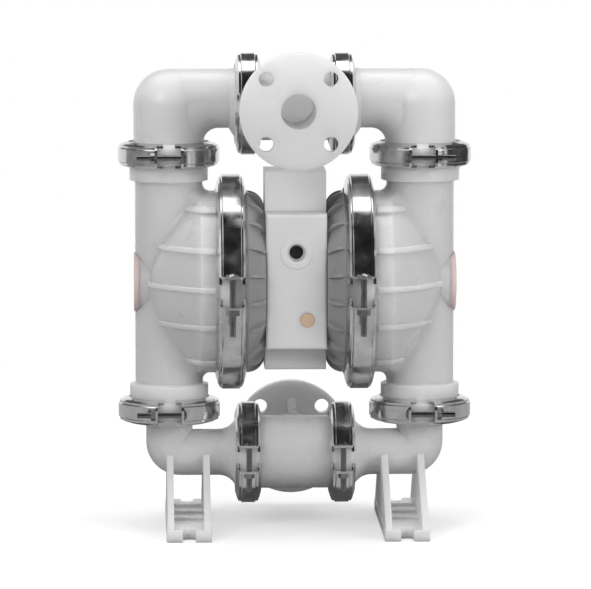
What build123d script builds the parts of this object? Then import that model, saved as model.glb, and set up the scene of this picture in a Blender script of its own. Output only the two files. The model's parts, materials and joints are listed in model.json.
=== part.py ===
"""A clamped plastic diaphragm pump driven by compressed air.

Two liquid chambers stand either side of a centre block. A tee with two elbows joins them below, as the
inlet, and above, as the outlet. Vee clamps of bent steel band hold every joint. A shaft through the centre
block carries a diaphragm at each end, and four balls on ring seats steer the liquid upwards.

X runs along the shaft, Y away from the side with the outlet flange, and Z up from the floor under the feet.
The right-hand pieces are modelled and mirrored in the plane X = 0. Lengths are in millimetres.
"""

from build123d import *
from math import asin, cos, pi, radians, sin, sqrt, tan
import os

# Layout of the whole pump
column_spacing = 276.0
diaphragm_axis_height = 268.5
column_length = 281.0
discharge_rise = 55.0
inlet_drop = 48.5
manifold_joint_offset = 51.5
chamber_joint_offset = 70.5
flange_reach = 139.0

# Small clamped joints, between columns, elbows and tees
small_rim_radius = 50.0
small_rim_half = 9.6
small_flank_angle = 18.0
small_channel_depth = 6.0
small_crown_rise = 5.7
small_crown_half = 7.2
small_crown_step = 1.5
small_band_wall = 2.2
small_ear_gap_half = 13.0
small_bolt_radius = 3.0
small_bolt_rise = 6.0
small_nut_across_flats = 10.0
small_nut_thickness = 5.0
small_bolt_spare = 15.0

# Large clamped joints, around the diaphragms
large_rim_radius = 112.0
large_rim_half = 11.0
large_flank_angle = 15.0
large_channel_depth = 9.5
large_crown_rise = 6.0
large_crown_half = 9.6
large_crown_step = 1.8
large_band_wall = 2.6
large_ear_gap_half = 15.5
large_bolt_radius = 3.3
large_bolt_rise = 8.5
large_nut_across_flats = 13.0
large_nut_thickness = 6.5
large_bolt_spare = 23.0

# Clamp band details shared by both sizes
clamp_clearance = 0.2
lip_gap_share = 0.5
ear_thickness = 2.6
ear_tip_round = 5.0
bolt_hole_clearance = 0.3
bolt_head_share = 2.3
bolt_head_height_share = 1.1

# Liquid chamber
column_radius = 37.0
column_wall = 7.0
collar_radius = 43.0
collar_length = 28.0
collar_bevel = 2.0
drum_radius = 100.0
drum_depth = 33.5
drum_wall = 7.5
dome_depth = 90.5
dome_bulge_radius = 60.0
dome_bulge_depth = 72.1
dome_face_radius = 28.0
rib_rise = 3.5
rib_thickness = 6.0
rib_edge_bevel = 1.2
rib_pitch = 42.0
rib_steps = 2
rib_start = 3.0
chamber_blend_radius = 8.5
end_boss_radius = 33.5
end_boss_length = 60.0
end_boss_depth = 100.0
end_disc_radius = 32.5
end_disc_thickness = 6.0
end_disc_round = 1.5
end_disc_spigot_radius = 24.0
end_disc_spigot_length = 1.2
end_disc_clearance = 0.1

# Valve seats and balls
ball_radius = 23.8
ball_lift = 11.0
seat_radius = 35.5
seat_bore_radius = 17.5
seat_thickness = 10.0
seat_lead_depth = 3.5
seat_clearance = 0.2
ball_rest_gap = 0.3
cage_clearance = 0.8
cage_rib_thickness = 5.0
cage_stop_radius = 10.0
cage_stop_height = 6.0
cage_rib_sink = 1.0

# Joint seals of round cord
seal_ring_radius = 40.0
seal_cord_radius = 1.7
seal_groove_clearance = 0.1

# Discharge elbows
discharge_leg_radius = 38.5
discharge_arm_radius = 32.5
discharge_wall = 7.0
discharge_throat_radius = 16.0
discharge_throat_sink = 0.3
discharge_neck_length = 8.0
discharge_mouth_step = 0.5

# Inlet elbows
inlet_pipe_radius = 25.5
inlet_pipe_wall = 6.5
inlet_bend_radius = 12.0
inlet_neck_radius = 42.0
inlet_top_flare = 7.0
inlet_side_flare = 20.0

# Feet under the inlet elbows
foot_offset = 117.7
foot_width = 48.5
foot_front_reach = 138.0
foot_rear_reach = 106.0
foot_thickness = 12.0
foot_leg_thickness = 7.3
foot_leg_inset = 0.7
foot_leg_top_half = 32.0
foot_slot_width = 14.0
foot_slot_depth = 22.0
foot_rib_height = 2.5
foot_rib_thickness = 5.0
foot_rib_pitch = 50.0
foot_rib_inset = 1.0
foot_edge_round = 2.0

# Tees and their pipe flanges
tee_radius = 40.0
tee_bore_radius = 31.0
branch_radius = 28.0
port_bore_radius = 19.0
flange_radius = 63.5
flange_thickness = 16.0
flange_bolt_circle = 98.4
flange_hole_radius = 7.95
flange_holes = 4
flange_edge_round = 1.5
gusset_thickness = 9.0
gusset_height = 16.0

# Shaft, pistons and diaphragms
shaft_radius = 11.0
stroke_half = 13.0
stud_radius = 8.0
stud_length = 30.0
stud_clearance = 0.1
diaphragm_thickness = 4.0
diaphragm_bead_thickness = 7.0
diaphragm_bead_width = 6.0
diaphragm_outer_radius = 106.0
diaphragm_bulge = 11.0
diaphragm_clearance = 0.1
inner_piston_radius = 46.0
inner_piston_thickness = 8.0
outer_piston_radius = 46.0
outer_piston_rim = 7.0
outer_piston_crown = 14.0
piston_edge_round = 2.0

# Air chambers
air_chamber_depth = 37.0
air_chamber_wall = 6.0
air_chamber_face_radius = 81.0
air_rib_count = 20
air_rib_thickness = 3.5
air_hub_hole_radius = 12.5
air_screw_radius = 3.0
air_screw_offset_y = 22.0
air_screw_offset_z = 45.0
air_screw_grip = 14.0
air_screw_head_radius = 5.0
air_screw_head_height = 4.0

# Centre block
block_half_width = 33.5
block_half_depth = 35.0
block_drop = 93.8
block_rise = 123.9
block_edge_bevel = 2.0
bushing_radius = 15.2
bushing_length = 16.0
shaft_seal_length = 4.0
running_clearance = 0.05
fixed_clearance = 0.05
air_passage_radius = 5.0
air_passage_x = 18.0
air_passage_rise = 22.0
air_passage_inset = 20.0
exhaust_rise = 44.0
exhaust_radius = 9.0

# Pilot spool below the shaft
pilot_drop = 30.0
pilot_radius = 4.0
pilot_sleeve_radius = 8.0
pilot_travel_half = 3.0
pilot_tip_gap = 0.5
pilot_groove_depth = 1.4
pilot_groove_width = 8.0
pilot_hole_clearance = 1.5

# Air valve body in front of the block
valve_half_width = 33.2
valve_depth = 36.0
valve_drop = 67.8
valve_rise = 79.9
valve_edge_round = 3.5
gasket_thickness = 1.0
spool_radius = 10.0
spool_axis_inset = 14.0
spool_travel = 14.0
spool_end_gap = 0.3
spool_waist_radius = 6.5
spool_waist_length = 22.0
end_cap_radius = 14.0
end_cap_thickness = 8.0
air_port_rise = 37.5
air_port_radius = 9.3
air_port_depth = 12.0
air_port_bevel = 1.6
air_port_boss_radius = 17.5
air_port_boss_height = 1.0
air_port_passage_radius = 7.4
test_plug_x = 11.6
test_plug_drop = 35.5
test_plug_radius = 8.0
test_plug_thickness = 5.0
test_plug_recess = 0.8
valve_bolt_radius = 4.0
valve_bolt_x = 25.0
valve_bolt_inset = 11.0
valve_bolt_grip = 24.0
valve_bolt_head_radius = 6.5
valve_bolt_head_height = 8.0

# Muffler behind the block
muffler_plate_thickness = 10.0
muffler_radius = 21.0
muffler_wall = 3.0
muffler_length = 84.0
muffler_neck_length = 8.0
muffler_slots = 10
muffler_slot_width = 3.0
muffler_slot_length = 52.0
muffler_end_round = 6.0

# Places worked out from the sizes above
column_x = column_spacing / 2
upper_joint_height = diaphragm_axis_height + column_length / 2
lower_joint_height = diaphragm_axis_height - column_length / 2
outlet_axis_height = upper_joint_height + discharge_rise
inlet_axis_height = lower_joint_height - inlet_drop
column_bore_radius = column_radius - column_wall
cavity_radius = drum_radius - drum_wall
block_bottom = diaphragm_axis_height - block_drop
block_top = diaphragm_axis_height + block_rise
valve_bottom = diaphragm_axis_height - valve_drop
valve_top = diaphragm_axis_height + valve_rise
valve_front = -(block_half_depth + gasket_thickness + valve_depth)
valve_back = -(block_half_depth + gasket_thickness)
spool_axis_y = valve_back - spool_axis_inset
seat_half = seat_thickness / 2
ball_rest_rise = (seat_half - seat_lead_depth + sqrt(ball_radius**2 - seat_bore_radius**2) + ball_rest_gap)
cage_stop_rise = ball_rest_rise + ball_lift + sqrt(ball_radius**2 - cage_stop_radius**2) + ball_rest_gap
muffler_back = block_half_depth + gasket_thickness + muffler_plate_thickness


class ClampSize:
    """The sizes that one clamped joint shares between its two rims and its clamp."""

    def __init__(self, rim_radius, rim_half, flank_angle, channel_depth, crown_rise, crown_half,
                 crown_step, band_wall, ear_gap_half, bolt_radius, bolt_rise, nut_across_flats,
                 nut_thickness, bolt_spare):
        self.rim_radius = rim_radius
        self.rim_half = rim_half
        self.flank = tan(radians(flank_angle))
        self.lip_radius = rim_radius - channel_depth
        self.crown_radius = rim_radius + crown_rise
        self.crown_half = crown_half
        self.crown_step = crown_step
        self.band_wall = band_wall
        self.ear_gap_half = ear_gap_half
        self.bolt_radius = bolt_radius
        self.bolt_axis_radius = self.crown_radius + bolt_rise
        self.nut_across_flats = nut_across_flats
        self.nut_thickness = nut_thickness
        self.bolt_spare = bolt_spare

    def rim_back(self, radius):
        """How far the bevelled back of a rim lies from the joint face, at a radius."""
        return self.rim_half + (self.rim_radius - radius) * self.flank


small = ClampSize(small_rim_radius, small_rim_half, small_flank_angle, small_channel_depth, small_crown_rise,
                  small_crown_half, small_crown_step, small_band_wall, small_ear_gap_half, small_bolt_radius,
                  small_bolt_rise, small_nut_across_flats, small_nut_thickness, small_bolt_spare)
large = ClampSize(large_rim_radius, large_rim_half, large_flank_angle, large_channel_depth, large_crown_rise,
                  large_crown_half, large_crown_step, large_band_wall, large_ear_gap_half, large_bolt_radius,
                  large_bolt_rise, large_nut_across_flats, large_nut_thickness, large_bolt_spare)


# Placing and shaping helpers

def distinct(points):
    """The points in order, without those that repeat the one before."""
    return [point for number, point in enumerate(points) if number == 0 or point != points[number - 1]]


def lines(*points):
    """Straight lines from point to point."""
    return Polyline(*distinct(points))


def turned(points):
    """A solid turned about Z from (radius, height) corner points."""
    return revolve(Plane.XZ * Polygon(*distinct(points), align=None), Axis.Z)


def turned_curve(edges):
    """A solid turned about Z from a closed chain of lines and arcs in (radius, height)."""
    return revolve(Plane.XZ * make_face(edges), Axis.Z)


def cap_arc(rim, base, crown):
    """The arc of a shallow round cap, from its rim at one height to its crown on the axis."""
    rise = crown - base
    radius = (rim**2 + rise**2) / (2 * rise)
    half_angle = asin(rim / radius) / 2
    middle = (radius * sin(half_angle), crown - radius + radius * cos(half_angle))
    return ThreePointArc((rim, base), middle, (0, crown))


def rod(radius, low, high, x=0.0, y=0.0):
    """A round bar along Z between two heights."""
    return Pos(x, y, (low + high) / 2) * Cylinder(radius, high - low)


def along_x(shape, x=0.0, y=0.0, z=0.0):
    """Lays a shape that was made along Z down along +X and moves it."""
    return Pos(x, y, z) * Rot(0, 90, 0) * shape


def along_y(shape, x=0.0, y=0.0, z=0.0):
    """Lays a shape that was made along Z down along +Y and moves it."""
    return Pos(x, y, z) * Rot(-90, 0, 0) * shape


def block_between(low, high):
    """A box between two opposite corners."""
    size = [b - a for a, b in zip(low, high)]
    middle = [(a + b) / 2 for a, b in zip(low, high)]
    return Pos(*middle) * Box(*size)


def left_of(shape):
    """The mirror image of a right-hand shape."""
    return mirror(shape, about=Plane.YZ)


# Clamps

def band_ring(size):
    """The full ring of a clamp band: a vee channel with a raised crown."""
    rim, lip, crown = size.rim_radius, size.lip_radius, size.crown_radius
    thick = size.band_wall * 1.1
    half = [
        (lip, size.rim_back(lip) + clamp_clearance),
        (rim + clamp_clearance, size.rim_half + clamp_clearance),
        (crown - size.band_wall, size.crown_half),
    ]
    outer_half = [
        (crown, size.crown_half),
        (crown - size.crown_step, size.crown_half + 0.7 * size.crown_step),
        (crown - size.crown_step, size.rim_half + 0.4 * size.band_wall),
        (rim + 0.2 * size.band_wall, size.rim_half + clamp_clearance + thick),
        (lip, size.rim_back(lip) + clamp_clearance + thick),
    ]
    inner = half + [(r, -z) for r, z in reversed(half)]
    outer = [(r, -z) for r, z in reversed(outer_half)] + outer_half
    return turned(inner + outer)


def clamp_half(size, side):
    """One half of a clamp, on the side of +X or -X, with an ear at each end for the bolts along X."""
    reach = 2 * size.crown_radius
    web_inner = size.rim_radius + clamp_clearance
    lip_gap = size.ear_gap_half * lip_gap_share
    ring = band_ring(size)
    ring -= Box(2 * lip_gap, reach * 2, reach)
    web_cut = Cylinder(reach, reach) - Cylinder(web_inner, reach)
    ring -= web_cut & Box(2 * size.ear_gap_half, reach * 2, reach)
    half = ring & block_between((0, -reach, -reach), (side * reach, reach, reach)) if side > 0 else (
        ring & block_between((-reach, -reach, -reach), (0, reach, reach)))
    ear_tip = size.bolt_axis_radius + size.bolt_radius * 2.2
    ear_root = size.rim_radius + 0.1 * size.band_wall
    ear_half = size.rim_half + 0.4 * size.band_wall
    for end in (-1, 1):
        ear = Box(ear_thickness, ear_tip - ear_root, 2 * ear_half)
        ear = Pos(side * (size.ear_gap_half + ear_thickness / 2), end * (ear_tip + ear_root) / 2, 0) * ear
        tip_edges = ear.edges().filter_by(Axis.X).sort_by(Axis.Y)
        ear = fillet(tip_edges[-2:] if end > 0 else tip_edges[:2], ear_tip_round)
        hole = along_x(Cylinder(size.bolt_radius + bolt_hole_clearance, 4 * size.ear_gap_half))
        half += ear - Pos(0, end * size.bolt_axis_radius, 0) * hole
    return half


def clamp_bolts(size):
    """The two bolts of a clamp, along X, with domed heads on the -X side."""
    head_radius = size.bolt_radius * bolt_head_share
    head_height = size.bolt_radius * bolt_head_height_share
    seat = size.ear_gap_half + ear_thickness
    dome = turned_curve([Line((0, 0), (head_radius, 0)), cap_arc(head_radius, 0, head_height),
                         Line((0, head_height), (0, 0))])
    shank_end = seat + size.nut_thickness + size.bolt_spare
    shank = rod(size.bolt_radius, -seat - 0.5, shank_end)
    shank = chamfer(shank.edges().sort_by(Axis.Z)[-1], size.bolt_radius * 0.2)
    bolt = along_x(shank + Pos(0, 0, -seat) * Rot(180, 0, 0) * dome)
    return [Pos(0, end * size.bolt_axis_radius, 0) * bolt for end in (-1, 1)]


def clamp_nuts(size):
    """The two hexagon nuts of a clamp, on the +X side."""
    seat = size.ear_gap_half + ear_thickness
    across_corners = size.nut_across_flats / cos(pi / 6)
    nut = extrude(RegularPolygon(across_corners / 2, 6), size.nut_thickness)
    nut &= turned([(0, 0), (across_corners / 2 - 0.8, 0), (across_corners / 2, 0.6),
                   (across_corners / 2, size.nut_thickness - 0.6),
                   (across_corners / 2 - 0.8, size.nut_thickness), (0, size.nut_thickness)])
    nut -= Cylinder(size.bolt_radius + fixed_clearance, 4 * size.nut_thickness)
    nut = along_x(nut, x=seat)
    return [Pos(0, end * size.bolt_axis_radius, 0) * nut for end in (-1, 1)]


# Pieces of a clamped joint

def rim_profile(size, neck_radius, neck_end):
    """Corner points of a rim that rises from its joint face at height 0 to a neck."""
    return [(0, 0), (size.rim_radius, 0), (size.rim_radius, size.rim_half),
            (neck_radius, size.rim_back(neck_radius)), (neck_radius, neck_end), (0, neck_end)]


def seal_groove(depth_share=2.0):
    """The ring cut in a joint face for a cord seal, sunk below height 0."""
    half_width = seal_cord_radius + seal_groove_clearance
    depth = depth_share * seal_cord_radius + seal_groove_clearance
    return turned([(seal_ring_radius - half_width, -depth), (seal_ring_radius + half_width, -depth),
                   (seal_ring_radius + half_width, 1), (seal_ring_radius - half_width, 1)])


def seal_ring():
    """A cord seal whose top lies level with height 0."""
    middle = -seal_cord_radius - seal_groove_clearance / 2
    return Pos(0, 0, middle) * Torus(seal_ring_radius, seal_cord_radius)


def seat_pocket():
    """The recess for half a valve seat, cut from height 0 upwards."""
    return rod(seat_radius + seat_clearance, -1, seat_half)


def ball_cage(wall_radius):
    """Four guide ribs above a seat, with stops that hold the ball down, from the joint face at height 0."""
    guide_radius = ball_radius + cage_clearance
    outer = wall_radius + cage_rib_sink
    top = cage_stop_rise + cage_stop_height
    guide = block_between((guide_radius, -cage_rib_thickness / 2, seat_half),
                          (outer, cage_rib_thickness / 2, top))
    stop = block_between((cage_stop_radius, -cage_rib_thickness / 2, cage_stop_rise),
                         (outer, cage_rib_thickness / 2, top))
    arm = guide + stop
    arms = Rot(0, 0, 45) * arm
    for turn in (135, 225, 315):
        arms += Rot(0, 0, turn) * arm
    return arms


# Liquid chamber

def dome_curve(inset):
    """The curve of the chamber's dome from the drum to its flat face, drawn in by a wall."""
    start = (drum_radius - inset, drum_depth)
    bulge = (dome_bulge_radius - 0.7 * inset, dome_bulge_depth - 0.7 * inset)
    return ThreePointArc(start, bulge, (dome_face_radius, dome_depth - inset))


def dome_outer(rise=0.0):
    """The solid bell of a liquid chamber from its joint face, at height 0, to the end of its dome."""
    drum = drum_radius + rise
    shoulder = large.rim_back(drum_radius)
    side = lines((0, 0), (large.rim_radius, 0), (large.rim_radius, large.rim_half),
                 (drum_radius, shoulder), (drum, shoulder), (drum, drum_depth))
    face = lines((dome_face_radius, dome_depth + rise), (0, dome_depth + rise), (0, 0))
    return turned_curve([side, dome_curve(-rise), face])


def diaphragm_land():
    """The cut in a large joint face that takes half the diaphragm's rim, sunk below height 0."""
    half = diaphragm_thickness / 2 + diaphragm_clearance
    bead_half = diaphragm_bead_thickness / 2 + diaphragm_clearance
    bead_in = diaphragm_outer_radius - diaphragm_bead_width - diaphragm_clearance
    rim = diaphragm_outer_radius + diaphragm_clearance
    return turned([(cavity_radius - 1, -half), (bead_in, -half), (bead_in, -bead_half), (rim, -bead_half),
                   (rim, 1), (cavity_radius - 1, 1)])


def chamber_column():
    """The upright pipe of a liquid chamber, about Z, from -column_length/2 to +column_length/2."""
    end = column_length / 2
    half = [(small.rim_radius, end), (small.rim_radius, end - small.rim_half),
            (collar_radius, end - small.rim_back(collar_radius)), (collar_radius, end - collar_length),
            (column_radius, end - collar_length - collar_bevel)]
    return turned([(0, -end)] + [(r, -z) for r, z in half] + list(reversed(half)) + [(0, end)])


def chamber_rib(place):
    """A flat rib across the dome, at a place above or below the chamber's axis."""
    low = large.rim_back(drum_radius) + rib_start
    slab = block_between((place - rib_thickness / 2, -large.rim_radius, low),
                         (place + rib_thickness / 2, large.rim_radius, dome_depth))
    rib = dome_outer(rib_rise) & slab
    sides = [edge for edge in rib.edges() if edge.geom_type not in (GeomType.CIRCLE, GeomType.LINE)]
    return chamfer(sides, rib_edge_bevel)


def liquid_chamber():
    """The right liquid chamber with its hollow, ribs and end boss."""
    axis = (chamber_joint_offset, 0, diaphragm_axis_height)
    column_place = Pos(column_x, 0, diaphragm_axis_height)
    body = along_x(dome_outer(), *axis) + column_place * chamber_column()
    crease = [edge for edge in body.edges() if edge.geom_type not in (GeomType.CIRCLE, GeomType.LINE)]
    body = fillet(crease, chamber_blend_radius)
    for step in range(-rib_steps, rib_steps + 1):
        body += along_x(chamber_rib(step * rib_pitch), *axis)
    body += along_x(rod(end_boss_radius, end_boss_depth - end_boss_length, end_boss_depth), *axis)

    drum = drum_radius - drum_wall
    mouth = lines((0, -1), (drum, -1), (drum, drum_depth))
    floor = lines((dome_face_radius, dome_depth - drum_wall), (0, dome_depth - drum_wall), (0, -1))
    hollow = turned_curve([mouth, dome_curve(drum_wall), floor])
    body -= along_x(hollow, *axis)
    body -= column_place * Cylinder(column_bore_radius, column_length + 2)
    body += Pos(column_x, 0, lower_joint_height) * ball_cage(column_bore_radius)
    body -= Pos(column_x, 0, lower_joint_height) * seat_pocket()
    body -= Pos(column_x, 0, upper_joint_height) * Rot(180, 0, 0) * seat_pocket()
    body -= Pos(column_x, 0, upper_joint_height) * seal_groove()
    body -= Pos(column_x, 0, lower_joint_height) * Rot(180, 0, 0) * seal_groove()
    body -= Pos(*axis) * Rot(0, -90, 0) * diaphragm_land()
    disc_pocket = rod(end_disc_radius + end_disc_clearance, end_boss_depth, 2 * end_boss_depth)
    disc_pocket += rod(end_disc_spigot_radius + end_disc_clearance,
                       end_boss_depth - end_disc_spigot_length, end_boss_depth + 1)
    return body - along_x(disc_pocket, *axis)


def end_disc():
    """The plain round plate on the boss at the end of the right liquid chamber, with its spigot."""
    disc = rod(end_disc_radius, end_boss_depth, end_boss_depth + end_disc_thickness)
    disc = fillet(disc.edges().sort_by(Axis.Z)[-1], end_disc_round)
    disc += rod(end_disc_spigot_radius, end_boss_depth - end_disc_spigot_length, end_boss_depth + 1)
    return along_x(disc, chamber_joint_offset, 0, diaphragm_axis_height)


# Valves

def valve_seat():
    """A ring seat about the joint face at height 0, with a cone for the ball on its upper side."""
    lead_top = seat_bore_radius + seat_lead_depth
    return turned([(seat_bore_radius, -seat_half), (seat_radius, -seat_half), (seat_radius, seat_half),
                   (lead_top, seat_half), (seat_bore_radius, seat_half - seat_lead_depth)])


def at_column_end(shape, height):
    """Moves a piece made about a joint face at height 0 to a right-hand column joint."""
    return Pos(column_x, 0, height) * shape


# Discharge elbow

def discharge_form(inset):
    """The outer form of the discharge elbow, or its hollow when drawn in by a wall."""
    leg = discharge_leg_radius - inset
    arm = discharge_arm_radius - inset
    throat = discharge_throat_radius + inset
    arm_height = outlet_axis_height + discharge_leg_radius - discharge_arm_radius
    pivot_x = column_x - discharge_leg_radius - discharge_throat_radius + discharge_throat_sink
    pivot_z = arm_height - discharge_arm_radius - discharge_throat_radius
    neck = manifold_joint_offset + small.rim_back(tee_radius)
    shape = rod(leg, upper_joint_height - (1 if inset else 0), outlet_axis_height, column_x)
    shape += Pos(column_x, 0, outlet_axis_height) * Sphere(leg)
    shape += Pos(column_x, 0, arm_height) * Rot(0, -90, 0) * rod(arm, 0, column_x - pivot_x)
    section = Pos(pivot_x + throat + arm, 0, pivot_z) * Circle(arm)
    shape += revolve(section, Axis((pivot_x, 0, pivot_z), (0, -1, 0)), 90)
    shape += along_x(rod(arm, neck + discharge_neck_length, pivot_x), 0, 0, arm_height)
    mouth_radius = tee_radius if inset == 0 else tee_bore_radius - discharge_mouth_step
    mouth_x = neck - discharge_mouth_step * (1 if inset == 0 else 8)
    small_end = Plane(origin=(neck + discharge_neck_length, 0, arm_height), x_dir=(0, 1, 0),
                      z_dir=(-1, 0, 0)) * Circle(arm)
    mouth = Plane(origin=(mouth_x, 0, outlet_axis_height), x_dir=(0, 1, 0),
                  z_dir=(-1, 0, 0)) * Circle(mouth_radius)
    return shape + loft([small_end, mouth])


def discharge_elbow():
    """The right discharge elbow, which holds the outlet ball above its seat."""
    body = discharge_form(0)
    body += at_column_end(turned(rim_profile(small, discharge_leg_radius, small.rim_back(tee_radius) + 4)),
                          upper_joint_height)
    side_rim = turned(rim_profile(small, tee_radius, small.rim_back(tee_radius)))
    body += along_x(side_rim, manifold_joint_offset, 0, outlet_axis_height)
    body -= discharge_form(discharge_wall)
    side_bore = rod(tee_bore_radius, -1, small.rim_back(tee_radius) - 2)
    body -= along_x(side_bore, manifold_joint_offset, 0, outlet_axis_height)
    body += at_column_end(ball_cage(discharge_leg_radius - discharge_wall), upper_joint_height)
    body -= at_column_end(seat_pocket(), upper_joint_height)
    return body


# Inlet elbow and foot

def inlet_form(radius, past=0.0):
    """The bent round bar of the inlet elbow, from one joint face to the other or past them."""
    bend_x = column_x - inlet_bend_radius
    bend_z = inlet_axis_height + inlet_bend_radius
    upright = rod(radius, bend_z, lower_joint_height + past, column_x)
    arm = along_x(rod(radius, manifold_joint_offset - past, bend_x), 0, 0, inlet_axis_height)
    section = Pos(column_x, 0, bend_z) * Circle(radius)
    section &= block_between((bend_x, -2 * radius, bend_z - 1), (bend_x + 3 * radius, 2 * radius, bend_z + 1))
    pivot = Axis((bend_x, 0, bend_z), (0, 1, 0))
    bend = revolve(section, pivot, 90)
    return upright + arm + bend


def flared_rim(flare_length):
    """A rim that flares down from its neck to the inlet pipe, from its joint face at height 0."""
    neck = small.rim_back(inlet_neck_radius)
    drop = inlet_neck_radius - inlet_pipe_radius
    edges = [
        lines((0, 0), (small.rim_radius, 0), (small.rim_radius, small.rim_half), (inlet_neck_radius, neck)),
        ThreePointArc((inlet_neck_radius, neck),
                      (inlet_pipe_radius + 0.25 * drop, neck + 0.4 * flare_length),
                      (inlet_pipe_radius, neck + flare_length)),
        lines((inlet_pipe_radius, neck + flare_length), (0, neck + flare_length), (0, 0)),
    ]
    return turned_curve(edges)


def foot():
    """The right foot: two legs astride the elbow, on a slotted plate that reaches further to the front."""
    front = -foot_front_reach
    rear = foot_rear_reach
    half_width = foot_width / 2
    plate = block_between((foot_offset - half_width, front, 0),
                          (foot_offset + half_width, rear, foot_thickness))
    plate = fillet(plate.edges().filter_by(Axis.Z), foot_edge_round)
    for end, inward in ((front, 1), (rear, -1)):
        slot_end = end + inward * (foot_slot_depth - foot_slot_width / 2)
        outside = end - inward * foot_slot_depth
        plate -= Pos(foot_offset, slot_end, 0) * Cylinder(foot_slot_width / 2, 4 * foot_thickness)
        low_y, high_y = sorted((slot_end, outside))
        plate -= block_between((foot_offset - foot_slot_width / 2, low_y, -1),
                               (foot_offset + foot_slot_width / 2, high_y, 2 * foot_thickness))
    outline = [(front, 0), (rear, 0), (rear, foot_thickness), (foot_leg_top_half, inlet_axis_height),
               (-foot_leg_top_half, inlet_axis_height), (front, foot_thickness)]
    leg_outer = half_width - foot_leg_inset
    shape = plate
    for low_x in (foot_offset - leg_outer, foot_offset + leg_outer - foot_leg_thickness):
        sheet = Plane(origin=(low_x, 0, 0), x_dir=(0, 1, 0), z_dir=(1, 0, 0))
        shape += extrude(sheet * Polygon(*outline, align=None), foot_leg_thickness)
    for step in (-1, 0, 1):
        shape += Pos(foot_offset, step * foot_rib_pitch, foot_thickness + foot_rib_height / 2) * Box(
            foot_width - 2 * foot_rib_inset, foot_rib_thickness, foot_rib_height)
    return shape


def inlet_elbow():
    """The right inlet elbow, moulded in one with its foot."""
    body = inlet_form(inlet_pipe_radius)
    body += Pos(column_x, 0, lower_joint_height) * Rot(180, 0, 0) * flared_rim(inlet_top_flare)
    body += along_x(flared_rim(inlet_side_flare), manifold_joint_offset, 0, inlet_axis_height)
    body += foot()
    body -= inlet_form(inlet_pipe_radius - inlet_pipe_wall, 1.0)
    body -= Pos(column_x, 0, lower_joint_height) * Rot(180, 0, 0) * seat_pocket()
    return body


# Tees

def tee():
    """A tee along X with its flanged branch along +Y, about the middle of its pipe axis."""
    neck = manifold_joint_offset - small.rim_back(tee_radius)
    half = [(small.rim_radius, manifold_joint_offset),
            (small.rim_radius, manifold_joint_offset - small.rim_half), (tee_radius, neck)]
    run = turned([(0, -manifold_joint_offset)] + [(r, -z) for r, z in half] + list(reversed(half))
                 + [(0, manifold_joint_offset)])
    body = along_x(run)
    body += along_y(rod(branch_radius, 0, flange_reach - 1))
    flange = rod(flange_radius, flange_reach - flange_thickness, flange_reach)
    flange = fillet(flange.edges(), flange_edge_round)
    body += along_y(flange)
    back = flange_reach - flange_thickness
    gusset = [(tee_radius * 0.6, branch_radius - 4), (back, branch_radius - 4),
              (back, branch_radius + gusset_height), (tee_radius * 0.6, tee_radius * 0.75)]
    web = extrude(Plane(origin=(-gusset_thickness / 2, 0, 0), x_dir=(0, 1, 0), z_dir=(1, 0, 0))
                  * Polygon(*gusset, align=None), gusset_thickness)
    body += web + mirror(web, about=Plane.XY)
    body -= along_x(Cylinder(tee_bore_radius, 2 * manifold_joint_offset + 2))
    body -= along_y(rod(port_bore_radius, 0, flange_reach + 1))
    for number in range(flange_holes):
        turn = (number + 0.5) * 360 / flange_holes
        hole = Rot(0, 0, turn) * Pos(flange_bolt_circle / 2, 0, flange_reach - flange_thickness / 2)
        body -= along_y(hole * Cylinder(flange_hole_radius, 2 * flange_thickness))
    for side in (-1, 1):
        body -= along_x(Rot(90 - side * 90, 0, 0) * seal_groove(), side * manifold_joint_offset)
    return body


# Shaft, pistons and diaphragms

def main_shaft():
    """The shaft between the two inner pistons, tapped at both ends for the outer pistons' studs."""
    end = chamber_joint_offset - diaphragm_thickness / 2 - inner_piston_thickness
    shaft = Cylinder(shaft_radius, 2 * end)
    shaft = chamfer(shaft.edges(), 0.8)
    hole_end = chamber_joint_offset + diaphragm_thickness / 2 - stud_length - 2
    for side in (-1, 1):
        low, high = sorted((side * hole_end, side * (end + 1)))
        shaft -= rod(stud_radius + stud_clearance, low, high)
    return along_x(shaft, 0, 0, diaphragm_axis_height)


def inner_piston():
    """The air side plate behind the right diaphragm."""
    back = -diaphragm_thickness / 2 - inner_piston_thickness
    front = -diaphragm_thickness / 2
    plate = rod(inner_piston_radius, back, front)
    plate = fillet(plate.edges().sort_by(Axis.Z)[0], piston_edge_round)
    plate -= Cylinder(stud_radius + stud_clearance, 100)
    return along_x(plate, chamber_joint_offset, 0, diaphragm_axis_height)


def outer_piston():
    """The liquid side plate of the right diaphragm, with the stud that screws into the shaft."""
    base = diaphragm_thickness / 2
    edges = [
        lines((0, base - stud_length), (stud_radius, base - stud_length), (stud_radius, base),
              (outer_piston_radius, base), (outer_piston_radius, base + outer_piston_rim)),
        cap_arc(outer_piston_radius, base + outer_piston_rim, base + outer_piston_crown),
        Line((0, base + outer_piston_crown), (0, base - stud_length)),
    ]
    return along_x(turned_curve(edges), chamber_joint_offset, 0, diaphragm_axis_height)


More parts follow.
